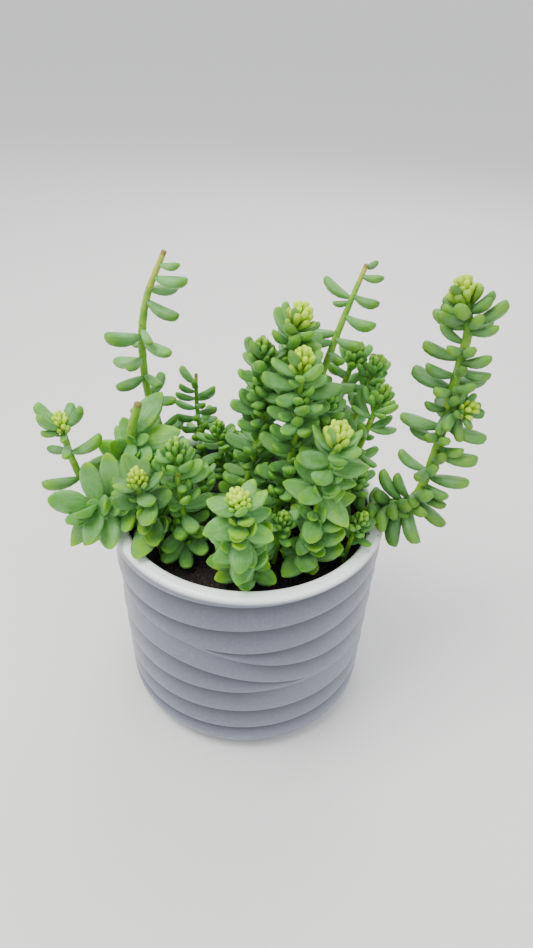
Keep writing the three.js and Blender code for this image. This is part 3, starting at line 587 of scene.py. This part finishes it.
class Curve:
    # a smooth curve through its points: on each span a cubic whose end slopes are half the neighbours' difference
    def __init__(self, path):
        self.points = np.array([p if len(p) == 3 else (*p, soil["top"] + 1) for p in path], float)
        p = self.points
        self.held = np.concatenate([[2 * p[0] - p[1]], p, [2 * p[-1] - p[-2]]])
        self.ruler = self.at(np.arange(curveSteps + 1) / curveSteps)
        gapShade = np.linalg.norm(np.diff(self.ruler, axis=0), axis=1)
        self.fromTip = np.concatenate([np.cumsum(gapShade[::-1])[::-1], [0]])
        self.length = self.fromTip[0]

    def at(self, share):
        share = np.atleast_1d(np.asarray(share, float)) * (len(self.points) - 1)
        span = np.minimum(np.floor(share).astype(int), len(self.points) - 2)
        w = (share - span)[:, None]
        p0, p1, p2, p3 = (self.held[span + k] for k in range(4))
        v0, v1 = 0.5 * (p2 - p0), 0.5 * (p3 - p1)
        return ((2 * p1 - 2 * p2 + v0 + v1) * w + (-3 * p1 + 3 * p2 - 2 * v0 - v1)) * w * w + v0 * w + p1

    def heading(self, share):
        way = self.at(min(1, share + 0.01)) - self.at(max(0, share - 0.01))
        return way[0] / np.linalg.norm(way)

    def shareAt(self, distance):
        index = np.nonzero(self.fromTip >= distance)[0]
        return (index[-1] if len(index) else 0) / curveSteps


def leafSwell(t, b):
    # half-width along the leaf: t to one power times (1 - t) to another, scaled to 1 at its widest
    a = leafForm["baseCurve"]
    widest = a / (a + b)
    return t ** a * (1 - t) ** b / (widest ** a * (1 - widest) ** b)


def drawsFrom(seed):
    # the same random draws each time, from -1 to 1: the last state times a factor, and what a prime leaves of it
    factor, prime, state = 16807, 2147483647, seed
    while True:
        state = state * factor % prime
        yield state / prime * 2 - 1


class Guards:
    # balls that stand for leaves and stems while room is looked for
    def __init__(self):
        most = guardForm["most"]
        self.at, self.radius = np.zeros((most, 3)), np.zeros(most)
        self.node, self.outer = np.zeros(most, int), np.zeros(most, bool)
        self.count = 0

    def add(self, at, radius, outer, node):
        end = self.count + len(at)
        self.at[self.count:end], self.radius[self.count:end] = at, radius
        self.node[self.count:end], self.outer[self.count:end] = node, outer
        self.count = end

    def clear(self, at, radius, outer, node, young, room, ownRoom):
        # false where a ball meets the pot, the soil, another stem or, for a grown leaf, its own stem's outer leaves
        reach = np.hypot(at[:, 0], at[:, 1])
        beside = np.maximum(0, np.maximum(innerRim - reach, reach - pot["rimRadius"]))
        above = np.maximum(0, at[:, 2] - pot["height"])
        if (np.hypot(beside, above) < radius + guardForm["wallRoom"]).any():
            return False
        if ((reach <= innerRim) & (at[:, 2] - soil["top"] <= radius + guardForm["soilRoom"])).any():
            return False
        middle = at.mean(0)
        reach = np.linalg.norm(at - middle, axis=1).max() + radius.max() + room + 0.01
        away = np.linalg.norm(self.at[:self.count] - middle, axis=1)
        near = np.nonzero(away < reach + self.radius[:self.count])[0]
        gap = np.linalg.norm(at[:, None] - self.at[None, near], axis=2)
        touch = radius[:, None] + self.radius[None, near]
        other = self.node[None, near] != node
        if ((gap < touch + room) & other).any():
            return False
        if young:
            return True
        return not ((gap < touch * ownRoom) & ~other & outer[:, None] & self.outer[None, near]).any()


guards = Guards()


def leafFrame(stem, share, turn, rise, young=True):
    # grown leaves of a stem with a facing turn their upper sides that way, to the light
    curve = stem["curve"]
    up = curve.heading(share)
    right = np.cross([0, 1.0, 0], up)
    right /= np.linalg.norm(right)
    turned, raised = np.radians(turn), np.radians(rise)
    out = right * np.cos(turned) + np.cross(up, right) * np.sin(turned)
    along = out * np.cos(raised) + up * np.sin(raised)
    upper = up * np.cos(raised) - out * np.sin(raised)
    if stem["facing"] and not young:
        upper = np.array(stem["facing"]) - along * (along @ stem["facing"])
        upper /= np.linalg.norm(upper)
    return dict(root=curve.at(share)[0], along=along, upper=upper, across=np.cross(along, upper))


def leafGuards(leaf, sag):
    # three balls at each step along the leaf: one in its middle and one towards each edge
    t = guardForm["along"]
    half = leaf["girth"] * leafSwell(t, leaf["tip"])
    drop = sag * leaf["length"] * (t - t * t)
    middle = leaf["root"] + leaf["along"] * (t * leaf["length"])[:, None] - leaf["upper"] * drop[:, None]
    aside = half[:, None] * guardForm["aside"]
    at = middle[:, None] + leaf["across"] * aside[..., None]
    radius = half[:, None] * np.array([leaf["flat"], guardForm["edge"], guardForm["edge"]])
    return at.reshape(-1, 3), radius.ravel(), np.repeat(t >= guardForm["outerFrom"], len(guardForm["aside"]))


def growLeaf(stem, share, turn, length, rise, young, age, room=guardForm["leafRoom"], ownRoom=None, shortest=0.0):
    # the first of the tries that has room, or no leaf
    shape = stem["shape"]
    for moreTurn, moreRise, lengthShare in tries:
        leaf = leafFrame(stem, share, turn + moreTurn, min(leafForm["tipRise"], rise + moreRise), young)
        size = length * lengthShare
        leaf.update(shape, age=age, length=size, girth=size * shape["plump"] / 2)
        balls = leafGuards(leaf, leafForm["sag"])
        if size >= shortest and guards.clear(*balls, stem["number"], young, room, ownRoom or stem["ownRoom"]):
            stem["leaves"].append(leaf)
            guards.add(*balls, stem["number"])
            return


def guardHeart(stem):
    # room for the tip's smallest leaves
    leaf = leafFrame(stem, stem["curve"].shareAt(leafForm["heartSink"]), 0, leafForm["tipRise"])
    size = stem["leaf"] * leafForm["heartShare"] * stem["bud"]
    leaf.update(core, length=size, girth=size * core["plump"] / 2)
    guards.add(*leafGuards(leaf, 0), stem["number"])


def growByRule(stem, number):
    # crowded and upright at the tip, then spaced down the stem, each a golden turn on from the last
    form = leafForm
    young = number < stem["tipLeaves"]
    if young and number < form["heart"]:
        return
    if young:
        fromTip = form["tipPitch"] * number ** 2 / (number + form["tipCrowd"])
    else:
        fromTip = stem["sideFrom"] + stem["spacing"] * (number - stem["tipLeaves"])
    turn = form["goldenTurn"] * number + form["turnSpread"] * next(stem["draw"])
    ripe = number / stem["tipLeaves"] if young else 1
    spread = 1 + form["lengthSpread"] * next(stem["draw"])
    length = stem["leaf"] * (form["tipShare"] + (1 - form["tipShare"]) * ripe) * spread
    rise = form["tipRise"] + (stem["rise"] - form["tipRise"]) * ripe + form["riseSpread"] * next(stem["draw"])
    if fromTip < stem["curve"].length - form["footBare"]:
        growLeaf(stem, stem["curve"].shareAt(fromTip), turn, length, rise, young, ripe)


def growAll():
    nodes = list(dict.fromkeys(stem["node"] for stem in stems))
    for index, stem in enumerate(stems):
        stem["curve"] = Curve(stem["path"])
        stem["draw"] = drawsFrom(leafForm["seed"] + leafForm["seedStep"] * index)
        stem["number"] = nodes.index(stem["node"])
        stem["leaves"] = []
        balls = int(np.floor(stem["curve"].length / guardForm["stemPitch"] + 0.5))
        at = stem["curve"].at(np.arange(balls + 1) / balls)
        guards.add(at, stem["radius"], False, stem["number"])
    for stem in stems:
        if stem["tipLeaves"]:
            guardHeart(stem)
    for stem in stems:
        for along, turn, length, rise in stem["placed"]:
            growLeaf(stem, along / (len(stem["path"]) - 1), turn, length, rise, False, 1.0)
    for number in range(leafForm["most"]):
        for stem in stems:
            growByRule(stem, number)


extra = dict(
    # the heart: how many small leaves, their form, the dome that they stand on
    beads=26, greenBeads=20, beadShare=0.34, beadMore=0.35, beadSpread=(0.85, 1.15), beadPlump=0.44, beadFlat=0.85,
    beadTip=0.72, beadAge=0.4, greenAge=0.33, domeTop=0.5, domeDepth=8.0, domeCore=0.12, domeReach=42, domeSpread=6,
    domeTurn=40,
    # leaves between the others: where, how far apart, how long and at what angle
    start=6.0, footBare=4, placedFrom=16, ripeAt=13, step=0.75, turnStep=222.5, firstTurn=60, youngShare=0.5,
    youngRise=50, lengthSpread=(0.75, 1.05), riseSpread=28,
    # short leaves on the lit side: mean and spread of their turn and rise
    frontFoot=6, frontStep=5.2, frontTurn=(-90, 50), frontRise=(30, 25), frontLength=(0.5, 0.8), frontAge=0.8,
    room=0.15, ownRoom=0.7, closeRoom=0.5, shortest=6.0, seed=7,
)


def growHeart(stem, draw):
    # small blunt leaves on a crown, a golden turn apart, larger, lower and flatter towards its edge
    bud, green = stem["leaf"] * stem["bud"], stem["greenHeart"]
    beads = stem.get("beads", extra["greenBeads"] if green else extra["beads"])
    for number in range(beads):
        age = (number + 0.5) / beads
        lean = extra["domeReach"] * age ** 0.5 + extra["domeSpread"] * draw.uniform(-1, 1)
        share = stem["curve"].shareAt(extra["domeTop"] + extra["domeDepth"] * stem["bud"] * age)
        turn = leafForm["goldenTurn"] * number + extra["domeTurn"]
        leaf = leafFrame(stem, share, turn, 90 - lean)
        out = leafFrame(stem, share, turn, 0)["along"]
        size = bud * extra["beadShare"] * stem["beadSize"] * (1 + extra["beadMore"] * age)
        size *= (extra["beads"] / beads) ** 0.25 * draw.uniform(*extra["beadSpread"])
        leaf.update(root=leaf["root"] + out * bud * extra["domeCore"] * age ** 0.5, length=size,
                    girth=size * extra["beadPlump"] * (beads / extra["beads"]) ** 0.25 / 2,
                    age=age * extra["beadAge"] + (extra["greenAge"] if green else 0), flat=extra["beadFlat"],
                    section=0, tip=extra["beadTip"] * stem["shape"]["tip"])
        stem["leaves"].append(leaf)


def growMore():
    # what is only finer here: the small heart leaves in each bud's place, and more leaves between the others
    draw = np.random.default_rng(extra["seed"])
    near = dict(room=extra["room"], shortest=extra["shortest"])
    for stem in stems:
        curve, crown = stem["curve"], stem["tipLeaves"]
        if crown:
            growHeart(stem, draw)
        start = extra["start"] if crown else stem["sideFrom"]
        places = np.arange(start, curve.length - extra["footBare"], stem["spacing"] * extra["step"])
        for number, place in enumerate(places):
            if stem["placed"] and crown and extra["placedFrom"] < place < stem["sideFrom"]:
                continue
            ripe = min(1, place / extra["ripeAt"]) if crown else 1
            length = stem["leaf"] * (extra["youngShare"] + (1 - extra["youngShare"]) * ripe)
            length *= draw.uniform(*extra["lengthSpread"])
            rise = stem["rise"] + (extra["youngRise"] - stem["rise"]) * (1 - ripe)
            rise += extra["riseSpread"] * draw.uniform(-1, 1)
            turn = extra["turnStep"] * number + extra["firstTurn"]
            growLeaf(stem, curve.shareAt(place), turn, length, rise, False, ripe, ownRoom=extra["ownRoom"], **near)
        for along, turn, length, rise in stem["more"]:
            growLeaf(stem, along / (len(stem["path"]) - 1), turn, length, rise, False, 1,
                     ownRoom=extra["closeRoom"], **near)
        if stem["facing"]:
            # short ones on the lit side, over the stem
            for place in np.arange(stem["frontFrom"], curve.length - extra["frontFoot"], extra["frontStep"]):
                turn = extra["frontTurn"][0] + extra["frontTurn"][1] * draw.uniform(-1, 1)
                length = stem["leaf"] * draw.uniform(*extra["frontLength"])
                rise = extra["frontRise"][0] + extra["frontRise"][1] * draw.uniform(-1, 1)
                growLeaf(stem, curve.shareAt(place), turn, length, rise, False, extra["frontAge"],
                         ownRoom=extra["closeRoom"], **near)


leafMesh = dict(
    rows=np.array([0.04, 0.15, 0.32, 0.52, 0.71, 0.87, 0.965]), sides=8, top=0.95, topLess=0.45, under=1.12,
    hollow=0.1, hollowMore=0.28, shoulder=0.3, point=1.15, youngBlunt=0.3, youngest=0.3, sagAge=1.2,
    plumpSpread=(0.94, 1.06), sagSpread=(0.6, 1.4), swaySpread=(-0.10, 0.10), tipSpread=(0.85, 1.2), seed=21,
)


def leafArrays(stem, draw):
    # all leaves of a stem at once: t along and an angle round. The half-width is the swell. The section goes from
    # round to a lens with thin margins, keeled below and with a shallow channel along the top, as its share grows,
    # and the middle sags below the line from root to tip by t minus t squared
    names = ("root", "along", "upper", "across", "length", "girth", "age", "flat", "tip", "section")
    root, along, upper, across, length, girth, age, flat, tip, section = (
        np.array([leaf[name] for leaf in stem["leaves"]]) for name in names)
    count, sides, t, youngest = len(root), leafMesh["sides"], leafMesh["rows"], leafMesh["youngest"]
    rows, turn = len(t), turns(sides)
    lens = (section * np.clip(age, youngest, 1))[:, None]
    plump = draw.uniform(*leafMesh["plumpSpread"], count)
    bend = leafForm["sag"] * draw.uniform(*leafMesh["sagSpread"], count)
    bend = bend * np.clip(age * leafMesh["sagAge"], youngest, 1)
    sway = draw.uniform(*leafMesh["swaySpread"], count)
    tipCurve = tip * (1 - leafMesh["youngBlunt"] * (1 - age)) * draw.uniform(*leafMesh["tipSpread"], count)
    tipCurve = tipCurve * (1 + (leafMesh["point"] - 1) * lens[:, 0])
    half = (girth * plump)[:, None] * leafSwell(t[None], tipCurve[:, None])
    x = half[:, :, None] * np.cos(turn)
    lift = np.maximum(0, np.sin(turn))
    thick = (leafMesh["top"] - leafMesh["topLess"] * lens) * lift + leafMesh["under"] * np.minimum(0, np.sin(turn))
    thick = thick - (leafMesh["hollow"] + leafMesh["hollowMore"] * lens) * lift ** 3
    thick = thick * (1 - leafMesh["shoulder"] * lens * np.abs(np.sin(2 * turn)))
    y = half[:, :, None] * (thick * flat[:, None])[:, None]
    arc = length[:, None] * (t ** 2 - t)
    middle = around(root, along, upper, length[:, None] * t, arc * bend[:, None])
    middle = middle + across[:, None] * (arc * sway[:, None])[..., None]
    body = around(middle, across[:, None], upper[:, None], x, y)
    end = root + along * length[:, None]
    points = np.concatenate([body.reshape(count, -1, 3), root[:, None], end[:, None]], 1)
    # for the material: the leaf's draw, age, place along and face up or down, then place across, tone and lime
    ring, each = rows * sides, rows * sides + 2
    data = np.ones((count, each, 4))
    data[..., 0], data[..., 1] = draw.uniform(0, 1, count)[:, None], age[:, None]
    data[:, :ring, 2] = np.repeat(t, sides)
    data[:, :ring, 3] = np.tile(np.sin(turn) * 0.5 + 0.5, rows)
    data[:, -2, 2], data[:, -1, 2], data[:, -2:, 3] = 0, 1, 0.5
    side = np.full((count, each, 4), 0.5)
    side[:, :ring, 0] = np.tile(np.cos(turn) * 0.5 + 0.5, rows)
    side[..., 1], side[..., 2] = stem["tone"], stem["lime"]
    quads, tris = closedGrid(rows, sides, flip=True)
    step = (np.arange(count) * each)[:, None, None]
    return (points.reshape(-1, 3), (quads + step).reshape(-1, 4), (tris + step).reshape(-1, 3),
            data.reshape(-1, 4), side.reshape(-1, 4))


stemMesh = dict(pitch=2.2, sides=10, taper=0.85, brokenTaper=0.62, taperReach=40, ripple=0.08, alongRate=1.3,
                twistRate=0.37, cap=0.5, sunk=np.array([8, 2]), dataReach=160)


def stemArrays(stem):
    # a tube along the stem's curve, thinner to its tip, rippled round and along, closed at both ends
    curve, sides, foot = stem["curve"], stemMesh["sides"], stem["path"][0]
    rows = int(curve.length / stemMesh["pitch"]) + 2
    away = np.linspace(curve.length, 0, rows)
    share = np.interp(away, curve.fromTip[::-1], np.linspace(1, 0, curveSteps + 1))
    middle = curve.at(share)
    heading = np.array([curve.heading(s) for s in share])
    if len(foot) == 2:
        # straight down into the soil, below the curve's start 1 mm over it
        under = np.array([[*foot, soil["top"] - depth] for depth in stemMesh["sunk"]], float)
        middle, heading = np.concatenate([under, middle]), np.concatenate([[[0, 0, 1.0]] * 2, heading])
        away = np.concatenate([curve.length + (stemMesh["sunk"] + 1), away])
        rows += 2
    right = np.cross([0, 1.0, 0], heading)
    right /= np.linalg.norm(right, axis=1, keepdims=True)
    front = np.cross(heading, right)
    turn = turns(sides)
    end = stemMesh["taper"] if stem["tipLeaves"] else stemMesh["brokenTaper"]
    thick = stem["radius"] * (end + (1 - end) * np.minimum(1, away / stemMesh["taperReach"]))
    ripple = np.sin(away[:, None] * stemMesh["alongRate"] + 2 * turn)
    ripple = 1 + stemMesh["ripple"] * ripple * np.sin(away[:, None] * stemMesh["twistRate"] + turn)
    reach = thick[:, None] * ripple
    tube = around(middle, right, front, reach * np.cos(turn), reach * np.sin(turn)).reshape(-1, 3)
    points = np.concatenate([tube, middle[:1], middle[-1:] + heading[-1:] * stemMesh["cap"]])
    # for the material: how far from the tip, as a share of the reach, and how dry the end is
    data = np.ones((len(points), 4))
    data[:-2, 0] = np.repeat(np.clip(away / stemMesh["dataReach"], 0, 1), sides)
    data[-2:, 0] = (1, 0)
    data[:, 1] = stem["dry"]
    return points, *closedGrid(rows, sides), data, np.full_like(data, 0.5)


def makePlants():
    growAll()
    growMore()
    skin, bark = leafSkin(), stemSkin()
    for node in dict.fromkeys(stem["node"] for stem in stems):
        draw = np.random.default_rng(leafMesh["seed"] + len(node))
        parts, count = [], 0
        for stem in [each for each in stems if each["node"] == node]:
            for slot, (points, quads, tris, data, side) in ((1, stemArrays(stem)), (0, leafArrays(stem, draw))):
                parts.append((points, quads + count, tris + count, data, side, np.full(len(quads), slot),
                              np.full(len(tris), slot)))
                count += len(points)
        points, quads, tris, data, side, quadSlots, triSlots = (np.concatenate(arrays) for arrays in zip(*parts))
        name = node.replace("stem_", "leafyStem_").replace("shoot_", "youngShoot_")
        piece = meshPiece(name, points, quads, tris, [skin, bark], np.concatenate([quadSlots, triSlots]),
                          leafData=data, leafSide=side)
        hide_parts(node)
    print("plants:", sum(len(stem["leaves"]) for stem in stems), "leaves")


leafColours = dict(
    # the darkest green is painted shade in the leaves' furrows
    furrowShade=(58, 112, 34), deep=(72, 130, 42), green=(94, 154, 58), bloom=(138, 186, 132), veil=0.5, tip=(122, 174, 16),
    # the undersides' yellow-green is painted light glowing through the shaded leaf
    under=(100, 154, 36), underGlowShare=0.6, young=(196, 232, 40), toneGain=2.06, tintSpread=0.14, rough=0.48,
    glow=0.3, glowReach=0.003, glowColours=(0.8, 1.0, 0.2), shine=0.4,
)


def leafSkin():
    n = Nodes("waxyLeaf")
    tint, age, along, face = n.attribute("leafData")
    across, tone, lime, _ = n.attribute("leafSide")
    cloud = n.noise(120, 3)
    # furrows: noise on a point that runs fast across the leaf and slowly along it, which bumps the surface
    place = n.add("ShaderNodeCombineXYZ", {0: n.times(across, 4.5), 1: n.times(along, 0.9), 2: n.times(tint, 60)})
    furrows = n.noise(1.6, 2, 0.6, place.outputs[0])
    colour = n.mix(n.span(n.plus(n.times(tint, 0.6), n.times(cloud, 0.6)), 0.3, 0.8),
                   linear(leafColours["deep"]), linear(leafColours["green"]))
    # painted shade: darker along the low lines of the furrows
    colour = n.mix(n.span(furrows, 0.56, 0.36, 0, 0.3), colour, linear(leafColours["furrowShade"]))
    # painted light: the undersides turn yellow-green, as light glowing through the shaded leaf
    under = n.times(n.span(face, 0.45, 0.0), leafColours["underGlowShare"])
    colour = n.mix(under, colour, linear(leafColours["under"]))
    # waxy bloom: a mottled veil, thicker towards the margins and thin at the tip and on young leaves
    margin = n.math("MAXIMUM", n.span(across, 0.6, 0.95), n.span(across, 0.4, 0.05))
    veil = n.plus(n.noise(330, 4, 0.7), n.times(n.noise(70, 2), 0.8))
    veil = n.plus(n.span(veil, 0.65, 1.15, 0.15, 0.8), n.times(margin, 0.15), clamp=True)
    veil = n.times(n.times(veil, n.span(along, 1.0, 0.6)), n.span(age, 0.1, 0.6))
    colour = n.mix(n.times(veil, leafColours["veil"]), colour, linear(leafColours["bloom"]))
    # lime patches where the veil has rubbed off, most of them near the tips
    patch = n.span(n.plus(n.noise(62, 2), n.times(along, 0.3)), 0.76, 0.88)
    tipShare = n.times(n.span(along, 0.8, 1.0), n.span(n.noise(45, 2), 0.38, 0.66, 0.2, 0.9))
    tipShare = n.times(n.math("MAXIMUM", tipShare, n.times(patch, 0.85)), lime)
    colour = n.mix(tipShare, colour, linear(leafColours["tip"]))
    colour = n.mix(n.span(age, 0.5, 0.1), colour, linear(leafColours["young"]))
    spread = leafColours["tintSpread"]
    shade = n.plus(n.times(tone, leafColours["toneGain"]), n.span(tint, 0, 1, -spread, spread, "LINEAR"))
    colour = n.mix(1.0, colour, shade, "MULTIPLY")
    n.set("Base Color", colour)
    n.set("Roughness", n.span(n.noise(200, 3), 0.3, 0.7, leafColours["rough"] - 0.08, leafColours["rough"] + 0.12))
    n.set("Subsurface Weight", leafColours["glow"])
    n.set("Subsurface Radius", leafColours["glowColours"])
    n.set("Subsurface Scale", leafColours["glowReach"])
    n.set("Specular IOR Level", leafColours["shine"])
    n.set("Normal", n.bump(n.noise(420, 3), 0.0003, 0.3, n.bump(furrows, 0.0016, 0.45)))
    return n.material


stemColours = dict(green=(100, 156, 34), pale=(136, 184, 52), scar=(140, 118, 50), scarShare=0.5, dry=(180, 184, 70),
                   dryShare=0.85, ring=(112, 74, 34), ringShare=0.75, rough=0.6, glow=0.1, glowReach=0.0015)


def stemSkin():
    n = Nodes("greenStem")
    away, broken = n.attribute("leafData")[:2]
    colour = n.mix(n.span(n.noise(150, 3), 0.35, 0.65), linear(stemColours["green"]), linear(stemColours["pale"]))
    scars = n.span(n.cells(230), 0.22, 0.10)
    colour = n.mix(n.times(scars, stemColours["scarShare"]), colour, linear(stemColours["scar"]))
    reach = n.times(broken, n.span(n.noise(120, 3), 0.3, 0.7, 0.05, 0.13))
    dry = n.span(n.math("SUBTRACT", reach, away), 0.0, 0.02)
    colour = n.mix(n.times(dry, stemColours["dryShare"]), colour, linear(stemColours["dry"]))
    # a brown ring round a broken end
    ring = n.times(n.span(away, 0.013, 0.005), n.math("GREATER_THAN", broken, 0.05))
    colour = n.mix(n.times(ring, stemColours["ringShare"]), colour, linear(stemColours["ring"]))
    n.set("Base Color", colour)
    n.set("Roughness", stemColours["rough"])
    n.set("Subsurface Weight", stemColours["glow"])
    n.set("Subsurface Scale", stemColours["glowReach"])
    n.set("Normal", n.bump(scars, 0.0006, 0.5, n.bump(n.noise(500, 3), 0.0003, 0.5)))
    return n.material


addCamera()
addRoom()
print("camera and room set")
makePot()
print("pot turned")
makeSoil()
print("soil laid")
makePlants()
